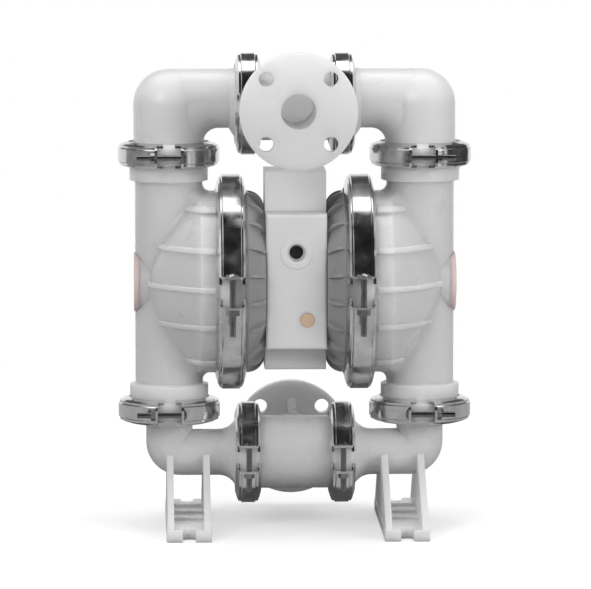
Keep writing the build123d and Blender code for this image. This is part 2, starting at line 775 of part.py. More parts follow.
def diaphragm():
    """The right diaphragm at mid stroke: a beaded rim, a rolled web and a flat hub with the stud hole."""
    half = diaphragm_thickness / 2
    bead = diaphragm_bead_thickness / 2
    rim = diaphragm_outer_radius
    bead_in = rim - diaphragm_bead_width
    hub = outer_piston_radius + 2
    web_end = cavity_radius - 1
    middle = (hub + web_end) / 2
    hole = stud_radius + stud_clearance
    edges = [
        Line((hole, -half), (hub, -half)),
        ThreePointArc((hub, -half), (middle, diaphragm_bulge - half), (web_end, -half)),
        lines((web_end, -half), (bead_in, -half), (bead_in, -bead), (rim, -bead), (rim, bead),
                 (bead_in, bead), (bead_in, half), (web_end, half)),
        ThreePointArc((web_end, half), (middle, diaphragm_bulge + half), (hub, half)),
        lines((hub, half), (hole, half), (hole, -half)),
    ]
    return along_x(turned_curve(edges), chamber_joint_offset, 0, diaphragm_axis_height)


# Air chamber

def air_form(rounded):
    """The right air chamber's outside from its joint face at height 0 inwards, with a bevelled shoulder.

    The rounded form is what the ribs fill out to."""
    shoulder = large.rim_back(drum_radius)
    corner = drum_radius - air_chamber_face_radius
    bevel_start = air_chamber_depth - corner
    side = lines((0, 0), (large.rim_radius, 0), (large.rim_radius, large.rim_half), (drum_radius, shoulder),
                 (drum_radius, bevel_start))
    middle = corner * sqrt(0.5)
    start = (drum_radius, bevel_start)
    end = (air_chamber_face_radius, air_chamber_depth)
    curve = ThreePointArc(start, (air_chamber_face_radius + middle, bevel_start + middle), end)
    bevel = Line(start, end)
    face = lines((air_chamber_face_radius, air_chamber_depth), (0, air_chamber_depth), (0, 0))
    return turned_curve([side, curve if rounded else bevel, face])


def air_chamber():
    """The right air chamber: a dish with ribs round its bevelled shoulder."""
    body = air_form(False)
    corner = drum_radius - air_chamber_face_radius
    ribs = air_form(True)
    ribs -= rod(air_chamber_face_radius - corner, -1, air_chamber_depth + 10)
    ribs -= rod(2 * drum_radius, -1, air_chamber_depth - corner)
    spoke = Pos(drum_radius * 0.5, 0, 0) * Box(drum_radius * 1.4, air_rib_thickness, 4 * air_chamber_depth)
    for number in range(air_rib_count):
        body += ribs & (Rot(0, 0, (number + 0.5) * 360 / air_rib_count) * spoke)
    floor = air_chamber_depth - air_chamber_wall
    bevel_sum = drum_radius + air_chamber_depth - corner - air_chamber_wall * sqrt(2)
    body -= turned([(0, -1), (cavity_radius, -1), (cavity_radius, bevel_sum - cavity_radius),
                    (bevel_sum - floor, floor), (0, floor)])
    body -= Cylinder(air_hub_hole_radius, 4 * air_chamber_depth)
    body -= Rot(180, 0, 0) * diaphragm_land()
    for y in (-air_screw_offset_y, air_screw_offset_y):
        for z in (-air_screw_offset_z, air_screw_offset_z):
            body -= Pos(z, y, 0) * Cylinder(air_screw_radius + bolt_hole_clearance, 4 * air_chamber_depth)
    body -= Pos(-pilot_drop, 0, 0) * Cylinder(pilot_radius + pilot_hole_clearance, 4 * air_chamber_depth)
    body -= Pos(air_passage_rise, -block_half_depth + air_passage_inset, 0) * Cylinder(
        air_passage_radius, 4 * air_chamber_depth)
    return Pos(chamber_joint_offset, 0, diaphragm_axis_height) * Rot(0, -90, 0) * body


def air_chamber_screws():
    """The screws that hold the right air chamber to the centre block."""
    floor = chamber_joint_offset - air_chamber_depth + air_chamber_wall
    back = chamber_joint_offset - air_chamber_depth
    screw = rod(air_screw_radius, back - air_screw_grip, floor + 1)
    head = rod(air_screw_head_radius, floor, floor + air_screw_head_height)
    head = chamfer(head.edges().sort_by(Axis.Z)[-1], 0.6)
    screw += head
    screw -= Pos(0, 0, floor + air_screw_head_height) * extrude(RegularPolygon(2.9, 6), 5, both=True) & rod(
        10, floor + 2, floor + 20)
    return [along_x(screw, 0, y, diaphragm_axis_height + z)
            for y in (-air_screw_offset_y, air_screw_offset_y)
            for z in (-air_screw_offset_z, air_screw_offset_z)]


# Centre block

def centre_block():
    """The block between the air chambers, bored for the shaft, the pilot spool and the air passages."""
    width, depth = block_half_width, block_half_depth
    body = block_between((-width, -depth, block_bottom), (width, depth, block_top))
    body = chamfer(body.edges().filter_by(Axis.X), block_edge_bevel)
    body -= along_x(Cylinder(bushing_radius, 4 * width), 0, 0, diaphragm_axis_height)
    body -= along_x(Cylinder(pilot_sleeve_radius + fixed_clearance, 4 * width), 0, 0,
                    diaphragm_axis_height - pilot_drop)
    passage_height = diaphragm_axis_height + air_passage_rise
    passage_y = -depth + air_passage_inset
    for side in (-1, 1):
        drilling = rod(air_passage_radius, -depth - 1, passage_y)
        body -= along_y(drilling, side * air_passage_x, 0, passage_height)
        low, high = sorted((side * air_passage_x, side * (width + 1)))
        body -= along_x(rod(air_passage_radius, low, high), 0, passage_y, passage_height)
        for y in (-air_screw_offset_y, air_screw_offset_y):
            for z in (-air_screw_offset_z, air_screw_offset_z):
                low, high = sorted((side * (width - air_screw_grip - 3), side * (width + 1)))
                tapped = rod(air_screw_radius + fixed_clearance, low, high)
                body -= along_x(tapped, 0, y, diaphragm_axis_height + z)
    body -= along_y(Cylinder(exhaust_radius, 4 * depth), 0, 0, diaphragm_axis_height + exhaust_rise)
    for x, z in valve_bolt_places():
        body -= along_y(Cylinder(valve_bolt_radius + bolt_hole_clearance, 4 * depth), x, 0, z)
    return body


def shaft_bushing():
    """The plain bearing at the right end of the shaft bore."""
    outer = block_half_width - shaft_seal_length
    ring = rod(bushing_radius - fixed_clearance, outer - bushing_length, outer)
    ring -= Cylinder(shaft_radius + running_clearance, 4 * block_half_width)
    return along_x(ring, 0, 0, diaphragm_axis_height)


def shaft_seal():
    """The seal ring outside the right bushing, held in by the air chamber."""
    ring = rod(bushing_radius - fixed_clearance, block_half_width - shaft_seal_length + fixed_clearance,
               block_half_width)
    ring -= Cylinder(shaft_radius + running_clearance, 4 * block_half_width)
    return along_x(ring, 0, 0, diaphragm_axis_height)


def pilot_sleeve():
    """The sleeve in the block that the pilot spool slides in."""
    tube = Cylinder(pilot_sleeve_radius, 2 * block_half_width)
    tube -= Cylinder(pilot_radius + running_clearance, 4 * block_half_width)
    return along_x(tube, 0, 0, diaphragm_axis_height - pilot_drop)


def pilot_spool():
    """The pilot spool, which the inner pistons push at the ends of the stroke."""
    piston_back = chamber_joint_offset - diaphragm_thickness / 2 - inner_piston_thickness
    half = piston_back - stroke_half - pilot_travel_half - pilot_tip_gap
    spool = Cylinder(pilot_radius, 2 * half)
    spool = chamfer(spool.edges(), 0.6)
    groove = Cylinder(2 * pilot_radius, pilot_groove_width) - Cylinder(
        pilot_radius - pilot_groove_depth, 2 * pilot_groove_width)
    for step in (-1, 0, 1):
        spool -= Pos(0, 0, step * 2 * pilot_groove_width) * groove
    return along_x(spool, 0, 0, diaphragm_axis_height - pilot_drop)


# Air valve

def valve_bolt_places():
    """The places, as X and Z, of the long bolts that hold the valve and the muffler plate to the block."""
    return [(x, z) for x in (-valve_bolt_x, valve_bolt_x)
            for z in (valve_bottom + valve_bolt_inset, valve_top - valve_bolt_inset)]


def valve_plate(front, back):
    """A plate of the valve's outline between two Y places, with the bolt and passage holes."""
    plate = block_between((-valve_half_width, front, valve_bottom), (valve_half_width, back, valve_top))
    for x, z in valve_bolt_places():
        plate -= along_y(Cylinder(valve_bolt_radius + bolt_hole_clearance, 400), x, 0, z)
    return plate


def air_valve_body():
    """The air valve body: an upright spool bore, the air port in front and a test port below it."""
    body = block_between((-valve_half_width, valve_front, valve_bottom),
                         (valve_half_width, valve_back, valve_top))
    front_edges = body.faces().sort_by(Axis.Y)[0].edges()
    body = fillet(front_edges, valve_edge_round)
    port_z = diaphragm_axis_height + air_port_rise
    boss = rod(air_port_boss_radius, 0, air_port_boss_height + 2)
    boss = chamfer(boss.edges().sort_by(Axis.Z)[-1], 0.6)
    face = valve_front - air_port_boss_height
    body += Pos(0, valve_front + 2, port_z) * Rot(90, 0, 0) * boss
    body -= Pos(0, spool_axis_y, (valve_bottom + valve_top) / 2) * Cylinder(
        spool_radius + running_clearance, 2 * (valve_top - valve_bottom))
    for low, high in ((valve_bottom - 1, valve_bottom + end_cap_thickness),
                      (valve_top - end_cap_thickness, valve_top + 1)):
        body -= rod(end_cap_radius + fixed_clearance, low, high, 0, spool_axis_y)
    port = turned([(0, -1), (air_port_radius + air_port_bevel + 1, -1), (air_port_radius, air_port_bevel),
                   (air_port_radius, air_port_depth), (0, air_port_depth)])
    body -= along_y(port, 0, face, port_z)
    body -= along_y(rod(air_port_passage_radius, 0, spool_axis_y - face), 0, face, port_z)
    plug_depth = test_plug_recess + test_plug_thickness
    body -= along_y(rod(test_plug_radius + fixed_clearance, -1, plug_depth), test_plug_x, valve_front,
                    diaphragm_axis_height - test_plug_drop)
    for side in (-1, 1):
        body -= along_y(rod(air_passage_radius, 0, spool_axis_inset), side * air_passage_x * 0.5,
                        spool_axis_y, diaphragm_axis_height + air_passage_rise)
    for x, z in valve_bolt_places():
        body -= along_y(rod(valve_bolt_radius + fixed_clearance, valve_back - valve_bolt_grip - 1,
                            valve_back + 1), x, 0, z)
    return body


def air_valve_gasket():
    """The gasket between the valve body and the block."""
    sheet = valve_plate(valve_back, -block_half_depth)
    for side in (-1, 1):
        sheet -= along_y(Cylinder(air_passage_radius, 400), side * air_passage_x, 0,
                         diaphragm_axis_height + air_passage_rise)
    return sheet - along_y(Cylinder(exhaust_radius, 400), 0, 0, diaphragm_axis_height + exhaust_rise)


def air_valve_spool():
    """The main air spool at the bottom of its travel."""
    low = valve_bottom + end_cap_thickness + spool_end_gap
    high = valve_top - end_cap_thickness - spool_end_gap - spool_travel
    middle = (low + high) / 2
    spool = rod(spool_radius, low, high)
    spool = chamfer(spool.edges(), 0.8)
    waist = Cylinder(2 * spool_radius, spool_waist_length)
    waist -= Cylinder(spool_waist_radius, 2 * spool_waist_length)
    for side in (-1, 1):
        spool -= Pos(0, 0, middle + side * 0.85 * spool_waist_length) * waist
    return Pos(0, spool_axis_y, 0) * spool


def air_valve_end_caps():
    """The round plugs at the top and the bottom of the spool bore."""
    low = rod(end_cap_radius, valve_bottom, valve_bottom + end_cap_thickness, 0, spool_axis_y)
    high = rod(end_cap_radius, valve_top - end_cap_thickness, valve_top, 0, spool_axis_y)
    return [low, high]


def test_port_plug():
    """The small round plug set in the front of the valve body."""
    plug = rod(test_plug_radius, 0, test_plug_thickness)
    plug = fillet(plug.edges().sort_by(Axis.Z)[0], 0.8)
    return along_y(plug, test_plug_x, valve_front + test_plug_recess, diaphragm_axis_height - test_plug_drop)


def valve_bolts():
    """The four long socket head bolts, from the muffler plate through the block into the valve body."""
    end = valve_back - valve_bolt_grip
    bolt = rod(valve_bolt_radius, end, muffler_back + 1)
    head = rod(valve_bolt_head_radius, muffler_back, muffler_back + valve_bolt_head_height)
    head = chamfer(head.edges().sort_by(Axis.Z)[-1], 0.8)
    bolt += head
    socket = extrude(RegularPolygon(3.6, 6), 2 * valve_bolt_head_height)
    bolt -= Pos(0, 0, muffler_back + valve_bolt_head_height / 2) * socket
    return [along_y(bolt, x, 0, z) for x, z in valve_bolt_places()]


# Exhaust side

def muffler_plate():
    """The plate behind the block that carries the muffler."""
    start = block_half_depth + gasket_thickness
    plate = block_between((-valve_half_width, start, valve_bottom),
                          (valve_half_width, muffler_back, valve_top))
    plate = fillet(plate.faces().sort_by(Axis.Y)[-1].edges(), 2.0)
    for x, z in valve_bolt_places():
        plate -= along_y(Cylinder(valve_bolt_radius + bolt_hole_clearance, 400), x, 0, z)
    return plate - along_y(Cylinder(exhaust_radius + fixed_clearance, 400), 0, 0,
                           diaphragm_axis_height + exhaust_rise)


def muffler_plate_gasket():
    """The gasket between the block and the muffler plate."""
    sheet = valve_plate(block_half_depth, block_half_depth + gasket_thickness)
    return sheet - along_y(Cylinder(exhaust_radius, 400), 0, 0, diaphragm_axis_height + exhaust_rise)


def exhaust_muffler():
    """The slotted silencer, screwed into the muffler plate by its hollow neck."""
    body = rod(muffler_radius, 0, muffler_length)
    body = fillet(body.edges().sort_by(Axis.Z)[-1], muffler_end_round)
    body += rod(exhaust_radius, -muffler_neck_length, 1)
    body -= rod(muffler_radius - muffler_wall, muffler_wall * 2, muffler_length - muffler_wall)
    body -= rod(exhaust_radius - muffler_wall, -muffler_neck_length - 1, muffler_wall * 3)
    slot = Box(2 * muffler_radius, muffler_slot_width, muffler_slot_length)
    for number in range(muffler_slots):
        place = Rot(0, 0, number * 360 / muffler_slots) * Pos(1.5 * muffler_radius, 0, muffler_length / 2)
        body -= place * slot
    return along_y(body, 0, muffler_back, diaphragm_axis_height + exhaust_rise)


# Writing the pieces

def write(name, shape):
    """Writes one node. Solids that belong together come as a list."""
    solids = [s for one in shape for s in one.solids()] if isinstance(shape, list) else list(shape.solids())
    export_step(solids[0] if len(solids) == 1 else Compound(children=solids), f"parts/{name}.step")


def write_pair(name, shape):
    """Writes a right-hand piece and its mirror image as two nodes."""
    write(f"{name}_right", shape)
    write(f"{name}_left", left_of(shape))


def write_both(name, shapes):
    """Writes right-hand pieces and their mirror images as one node of separate solids."""
    write(name, shapes + [left_of(one) for one in shapes])


def write_clamps():
    """Writes every clamp, with the bolts and nuts of each size in one node."""
    upright_joints = {"inlet_column": lower_joint_height, "discharge_column": upper_joint_height}
    lying_joints = {"inlet_tee": inlet_axis_height, "discharge_tee": outlet_axis_height}
    head_half, nut_half = clamp_half(small, -1), clamp_half(small, 1)
    bolts, nuts = clamp_bolts(small), clamp_nuts(small)
    places = {f"{name}_clamp": Pos(column_x, 0, height) for name, height in upright_joints.items()}
    for name, height in lying_joints.items():
        places[f"{name}_clamp"] = Pos(manifold_joint_offset, 0, height) * Rot(0, 90, 0)
    small_bolts, small_nuts = [], []
    for name, place in places.items():
        halves = [place * head_half, place * nut_half]
        write(f"{name}_right", halves)
        write(f"{name}_left", [left_of(one) for one in halves])
        small_bolts += [place * one for one in bolts]
        small_nuts += [place * one for one in nuts]
    write_both("small_clamp_bolts", small_bolts)
    write_both("small_clamp_nuts", small_nuts)

    place = Pos(chamber_joint_offset, 0, diaphragm_axis_height) * Rot(0, 90, 0)
    for side, name in ((-1, "upper"), (1, "lower")):
        half = place * clamp_half(large, side)
        write(f"chamber_clamp_{name}_right", half)
        write(f"chamber_clamp_{name}_left", left_of(half))
    write_both("chamber_clamp_bolts", [place * one for one in clamp_bolts(large)])
    write_both("chamber_clamp_nuts", [place * one for one in clamp_nuts(large)])


def write_valves():
    """Writes the seats, balls and joint seals."""
    ball = Pos(0, 0, ball_rest_rise) * Sphere(ball_radius)
    for name, height in (("inlet", lower_joint_height), ("discharge", upper_joint_height)):
        write_pair(f"{name}_seat", at_column_end(valve_seat(), height))
        write_pair(f"{name}_ball", at_column_end(ball, height))
    upper = Pos(column_x, 0, upper_joint_height) * seal_ring()
    lower = Pos(column_x, 0, lower_joint_height) * Rot(180, 0, 0) * seal_ring()
    write_both("column_seal_rings", [upper, lower])
    tee_seals = [along_x(seal_ring(), manifold_joint_offset, 0, height)
                 for height in (inlet_axis_height, outlet_axis_height)]
    write_both("tee_seal_rings", tee_seals)


def main():
    os.makedirs("parts", exist_ok=True)
    write_pair("liquid_chamber", liquid_chamber())
    write_pair("end_disc", end_disc())
    write_pair("discharge_elbow", discharge_elbow())
    write_pair("inlet_elbow", inlet_elbow())
    write("inlet_tee", Pos(0, 0, inlet_axis_height) * tee())
    write("discharge_tee", Pos(0, 0, outlet_axis_height) * Rot(0, 0, 180) * tee())
    write_valves()
    write_clamps()
    write("main_shaft", main_shaft())
    write_pair("inner_piston", inner_piston())
    write_pair("outer_piston", outer_piston())
    write_pair("diaphragm", diaphragm())
    write_pair("air_chamber", air_chamber())
    write_both("air_chamber_screws", air_chamber_screws())
    write("centre_block", centre_block())
    write_both("shaft_bushings", [shaft_bushing()])
    write_both("shaft_seals", [shaft_seal()])
    write("pilot_sleeve", pilot_sleeve())
    write("pilot_spool", pilot_spool())
    write("air_valve_body", air_valve_body())
    write("air_valve_gasket", air_valve_gasket())
    write("air_valve_spool", air_valve_spool())
    write("air_valve_end_caps", air_valve_end_caps())
    write("test_port_plug", test_port_plug())
    write("valve_bolts", valve_bolts())
    write("muffler_plate", muffler_plate())
    write("muffler_plate_gasket", muffler_plate_gasket())
    write("exhaust_muffler", exhaust_muffler())


main()
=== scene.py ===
"""Looks of a clamped plastic diaphragm pump: finishes, small details, light and camera."""
import bpy
import json
import math
from mathutils import Matrix, Vector


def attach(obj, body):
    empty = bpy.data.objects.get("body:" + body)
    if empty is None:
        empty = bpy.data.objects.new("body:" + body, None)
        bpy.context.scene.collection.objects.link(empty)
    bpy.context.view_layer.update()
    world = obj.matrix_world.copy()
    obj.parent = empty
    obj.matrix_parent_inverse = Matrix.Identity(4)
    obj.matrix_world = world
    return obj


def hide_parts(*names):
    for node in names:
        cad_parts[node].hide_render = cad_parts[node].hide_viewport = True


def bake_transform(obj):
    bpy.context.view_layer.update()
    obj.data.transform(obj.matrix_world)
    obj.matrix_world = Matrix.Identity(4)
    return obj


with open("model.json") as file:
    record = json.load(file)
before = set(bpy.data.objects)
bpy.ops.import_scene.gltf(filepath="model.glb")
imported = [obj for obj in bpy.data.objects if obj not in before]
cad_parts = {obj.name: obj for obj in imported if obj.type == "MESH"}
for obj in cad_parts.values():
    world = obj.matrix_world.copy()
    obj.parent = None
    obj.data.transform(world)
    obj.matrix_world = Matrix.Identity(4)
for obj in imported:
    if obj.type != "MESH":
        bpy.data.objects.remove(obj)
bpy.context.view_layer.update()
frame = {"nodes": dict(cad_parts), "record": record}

nodes = frame["nodes"]

# The pump's two sides, and places in it, in metres
sides = (("left", -1), ("right", 1))
column_x = 0.138
diaphragm_height = 0.2685
upper_joint = 0.409
lower_joint = 0.128
outlet_height = 0.464
inlet_height = 0.0795
manifold_joint = 0.0515
chamber_joint = 0.0705

# Diaphragms
hole_radius = 0.0081
hub_radius = 0.048
web_end_radius = 0.0915
web_rise = 0.011
web_thickness = 0.004
web_steps = 12
bead_thickness = 0.007
bead_in_radius = 0.100
rim_radius = 0.106
sector_count = 12
sector_steps = 4

# Clamp bolts: how far in front of and behind the clamp's middle they lie, and their rods and threads
small_bolt_reach = 0.0617
small_rod_radius = 0.0030
small_pitch = 0.0010
large_bolt_reach = 0.1265
large_rod_radius = 0.0033
large_pitch = 0.00125
thread_steps = 12
ridge_share = 0.5
ridge_flatness = 0.6

# Where thread shows along a bolt, as (start, length) from its clamp's middle: between the ears, and
# past the nut
small_thread_stretches = ((-0.0125, 0.025), (0.0209, 0.0141))
large_thread_stretches = ((-0.0145, 0.029), (0.0250, 0.0216))

# New meshes: points nearer than this are one, and sharper edges than this stay sharp
merge_distance = 0.00001
crease_angle = math.radians(35.0)

# View of the photograph
view_turn = math.radians(1.9)
view_elevation = math.radians(6.0)
view_distance = 5.5
view_target = Vector((0.0011, 0.0, 0.2536))
photo_width = 591
pixel_size = 0.0011
view_width = photo_width * pixel_size
view_reach = 50.0
sensor_width = 36.0

# How deep light goes into the mouldings: solid ones, the discharge elbows, thin shells, feet with the inlet
# tee, and the outlet tee. The elbows' depth is shallower so that they render lighter: painted light, for the
# light they catch from above
milk_depth = 0.015
lit_elbow_milk = 0.018
thin_shell_milk = 0.030
foot_milk = 0.029
tee_milk = 0.085

# How much of the light that leaves a moulding has gone into it: wet side, air side, small pieces
wet_glow = 0.9
dry_glow = 0.4
small_glow = 0.2

# Painted shade: a near-black colour inside the bore in which the air valve's spool slides, ahead of the
# pump's middle, where the deep hole is in shade
spool_ahead = 0.050
bore_shade_radius = 0.0107

# Roughness of the finishes, as (lowest, highest)
satin = (0.24, 0.36)
matt = (0.34, 0.46)
glossy = (0.22, 0.34)
polished = (0.14, 0.24)
band_polish = (0.10, 0.24)

# Steel band's patches, from dark to bright
band_dark = (0.36, 0.36, 0.37)
band_bright = (0.90, 0.90, 0.90)

# Surface patterns, in repeats to the metre, and the span of values that most of a noise has
cloud_size = 9.0
gloss_size = 14.0
patch_size = 55.0
noise_span = (0.3, 0.7)

# Light and surroundings
world_light = 0.44
paper_reach = 1.6
paper_fade_start = 0.45
paper_fade_end = 0.95 * paper_reach
paper_shade = 0.68
paper_bounce = 0.35
paper_glow = 0.40
floor_gap = 0.0005


def select_none():
    """Leaves nothing selected, so that an operator acts only on what is picked next."""
    if bpy.context.object and bpy.context.object.mode != "OBJECT":
        bpy.ops.object.mode_set(mode="OBJECT")
    bpy.ops.object.select_all(action="DESELECT")


# Shader building

class Shader:
    """A material under construction, with short ways to add and join its nodes."""

    def __init__(self, name):
        self.material = bpy.data.materials.new(name)
        self.material.use_nodes = True
        self.tree = self.material.node_tree
        self.surface = self.tree.nodes["Principled BSDF"]

    def node(self, kind, **settings):
        made = self.tree.nodes.new(kind)
        for name, value in settings.items():
            setattr(made, name, value)
        return made

    def effect(self, group, **values):
        made = self.tree.nodes.new("ShaderNodeGroup")
        made.node_tree = group
        for name, value in values.items():
            made.inputs[name.replace("_", " ").capitalize()].default_value = value
        return made

    def join(self, output, target):
        self.tree.links.new(output, target)

    def set(self, **values):
        for name, value in values.items():
            self.surface.inputs[name.replace("_", " ").title().replace("Ior", "IOR")].default_value = value


def new_group(name, inputs, outputs):
    """An empty shader node group with float or vector sockets."""
    group = bpy.data.node_groups.new(name, "ShaderNodeTree")
    for label, kind, value in inputs:
        socket = group.interface.new_socket(label, in_out="INPUT", socket_type=kind)
        socket.default_value = value
    for label, kind in outputs:
        group.interface.new_socket(label, in_out="OUTPUT", socket_type=kind)
    entry = group.nodes.new("NodeGroupInput")
    leave = group.nodes.new("NodeGroupOutput")
    return group, entry, leave


def join(group, output, target):
    group.links.new(output, target)


def math_node(group, operation, first, second=None, third=None):
    """A Math node whose inputs are sockets or plain numbers."""
    made = group.nodes.new("ShaderNodeMath")
    made.operation = operation
    for number, value in enumerate((first, second, third)):
        if value is None:
            continue
        if isinstance(value, (int, float)):
            made.inputs[number].default_value = value
        else:
            join(group, value, made.inputs[number])
    return made.outputs[0]


def cloudy_group():
    """Soft uneven clouds over a surface, as a value between two limits."""
    group, entry, leave = new_group(
        "cloudy", [("Size", "NodeSocketFloat", 20.0), ("Low", "NodeSocketFloat", 0.4),
                   ("High", "NodeSocketFloat", 0.6)], [("Value", "NodeSocketFloat")])
    place = group.nodes.new("ShaderNodeTexCoord")
    noise = group.nodes.new("ShaderNodeTexNoise")
    noise.inputs["Detail"].default_value = 4.0
    spread = group.nodes.new("ShaderNodeMapRange")
    spread.inputs["From Min"].default_value, spread.inputs["From Max"].default_value = noise_span
    join(group, place.outputs["Object"], noise.inputs["Vector"])
    join(group, entry.outputs["Size"], noise.inputs["Scale"])
    join(group, noise.outputs["Fac"], spread.inputs["Value"])
    join(group, entry.outputs["Low"], spread.inputs["To Min"])
    join(group, entry.outputs["High"], spread.inputs["To Max"])
    join(group, spread.outputs["Result"], leave.inputs["Value"])
    return group


def orange_peel_group():
    """The faint unevenness of moulded plastic or worn rubber, as a height."""
    group, entry, leave = new_group(
        "orange_peel", [("Coarse", "NodeSocketFloat", 90.0), ("Fine", "NodeSocketFloat", 900.0)],
        [("Height", "NodeSocketFloat")])
    place = group.nodes.new("ShaderNodeTexCoord")
    total = None
    for label, share in (("Coarse", 0.7), ("Fine", 0.3)):
        noise = group.nodes.new("ShaderNodeTexNoise")
        noise.inputs["Detail"].default_value = 2.0
        join(group, place.outputs["Object"], noise.inputs["Vector"])
        join(group, entry.outputs[label], noise.inputs["Scale"])
        part = math_node(group, "MULTIPLY", noise.outputs["Fac"], share)
        total = part if total is None else math_node(group, "ADD", total, part)
    join(group, total, leave.inputs["Height"])
    return group


def rolled_streaks_group():
    """Fine lines that run round an axis, as rolled and polished steel band has."""
    group, entry, leave = new_group(
        "rolled_streaks",
        [("Centre", "NodeSocketVector", (0.0, 0.0, 0.0)), ("Axis", "NodeSocketVector", (0.0, 0.0, 1.0)),
         ("Fineness", "NodeSocketFloat", 1400.0)],
        [("Streaks", "NodeSocketFloat"), ("Patches", "NodeSocketFloat")])
    place = group.nodes.new("ShaderNodeTexCoord")
    offset = group.nodes.new("ShaderNodeVectorMath")
    offset.operation = "SUBTRACT"
    join(group, place.outputs["Object"], offset.inputs[0])
    join(group, entry.outputs["Centre"], offset.inputs[1])
    along = group.nodes.new("ShaderNodeVectorMath")
    along.operation = "DOT_PRODUCT"
    join(group, offset.outputs[0], along.inputs[0])
    join(group, entry.outputs["Axis"], along.inputs[1])
    length = group.nodes.new("ShaderNodeVectorMath")
    length.operation = "LENGTH"
    join(group, offset.outputs[0], length.inputs[0])
    square = math_node(group, "MULTIPLY", length.outputs["Value"], length.outputs["Value"])
    along_square = math_node(group, "MULTIPLY", along.outputs["Value"], along.outputs["Value"])
    radius = math_node(group, "SQRT", math_node(group, "SUBTRACT", square, along_square))
    lines = group.nodes.new("ShaderNodeCombineXYZ")
    join(group, along.outputs["Value"], lines.inputs["X"])
    join(group, radius, lines.inputs["Y"])
    streaks = group.nodes.new("ShaderNodeTexNoise")
    streaks.inputs["Detail"].default_value = 3.0
    join(group, lines.outputs[0], streaks.inputs["Vector"])
    join(group, entry.outputs["Fineness"], streaks.inputs["Scale"])
    patches = group.nodes.new("ShaderNodeTexNoise")
    patches.inputs["Scale"].default_value = patch_size
    patches.inputs["Detail"].default_value = 3.0
    join(group, place.outputs["Object"], patches.inputs["Vector"])
    join(group, streaks.outputs["Fac"], leave.inputs["Streaks"])
    join(group, patches.outputs["Fac"], leave.inputs["Patches"])
    return group


cloudy = cloudy_group()
orange_peel = orange_peel_group()
rolled_streaks = rolled_streaks_group()


def tint(colour, share):
    """A colour made darker or lighter by a share."""
    return tuple(min(1.0, part * share) for part in colour)


def uneven_colour(shader, colour, depth, size):
    """Colours a surface with soft clouds between a slightly darker and a slightly lighter shade."""
    clouds = shader.effect(cloudy, size=size, low=0.0, high=1.0)
    shades = shader.node("ShaderNodeMix", data_type="RGBA")
    shades.inputs["A"].default_value = (*tint(colour, 1.0 - depth), 1.0)
    shades.inputs["B"].default_value = (*tint(colour, 1.0 + depth), 1.0)
    shader.join(clouds.outputs["Value"], shades.inputs["Factor"])
    shader.join(shades.outputs["Result"], shader.surface.inputs["Base Color"])


def uneven_gloss(shader, low, high, size):
    """Varies the roughness softly between two values."""
    clouds = shader.effect(cloudy, size=size, low=low, high=high)
    shader.join(clouds.outputs["Value"], shader.surface.inputs["Roughness"])


def peel(shader, strength, depth, coarse=90.0, fine=900.0):
    """Adds the slight relief of a moulded surface."""
    relief = shader.effect(orange_peel, coarse=coarse, fine=fine)
    bump = shader.node("ShaderNodeBump")
    bump.inputs["Strength"].default_value = strength
    bump.inputs["Distance"].default_value = depth
    shader.join(relief.outputs["Height"], bump.inputs["Height"])
    shader.join(bump.outputs["Normal"], shader.surface.inputs["Normal"])


def moulded_shader(name, colour, gloss=matt, glow=0.0, milk=milk_depth):
    """A shader for moulded plastic, a little milky where glow is above 0."""
    shader = Shader(name)
    uneven_colour(shader, colour, depth=0.025, size=cloud_size)
    uneven_gloss(shader, *gloss, size=gloss_size)
    peel(shader, strength=0.25, depth=0.0004)
    if glow:
        shader.set(subsurface_weight=glow, subsurface_scale=milk, subsurface_radius=(1.0, 1.0, 1.0))
    return shader


def moulded_plastic(name, colour, **looks):
    """Moulded plastic of one colour."""
    return moulded_shader(name, colour, **looks).material


def milky_plastic(name, colour, milk):
    """The satin, milky plastic of the pump's wet side."""
    return moulded_plastic(name, colour, gloss=satin, glow=wet_glow, milk=milk)


def body_with_painted_bore_shade(name, colour, bore_shade):
    """The air valve's body: moulded plastic with painted shade, a near-black colour, inside its spool bore.
    """
    shader = moulded_shader(name, colour, glow=dry_glow)
    place = shader.node("ShaderNodeTexCoord")
    parts = shader.node("ShaderNodeSeparateXYZ")
    shader.join(place.outputs["Object"], parts.inputs[0])
    depth = math_node(shader.tree, "ADD", parts.outputs["Y"], spool_ahead)
    across = math_node(shader.tree, "MULTIPLY", parts.outputs["X"], parts.outputs["X"])
    square = math_node(shader.tree, "MULTIPLY_ADD", depth, depth, across)
    # Painted shade: near black within the bore's radius, for the shade deep in the hole
    inside = math_node(shader.tree, "LESS_THAN", square, bore_shade_radius * bore_shade_radius)
    shades = shader.node("ShaderNodeMix", data_type="RGBA")
    shades.inputs["B"].default_value = (*bore_shade, 1.0)
    plain = shader.surface.inputs["Base Color"].links[0].from_socket
    shader.join(inside, shades.inputs["Factor"])
    shader.join(plain, shades.inputs["A"])
    shader.join(shades.outputs["Result"], shader.surface.inputs["Base Color"])
    return shader.material


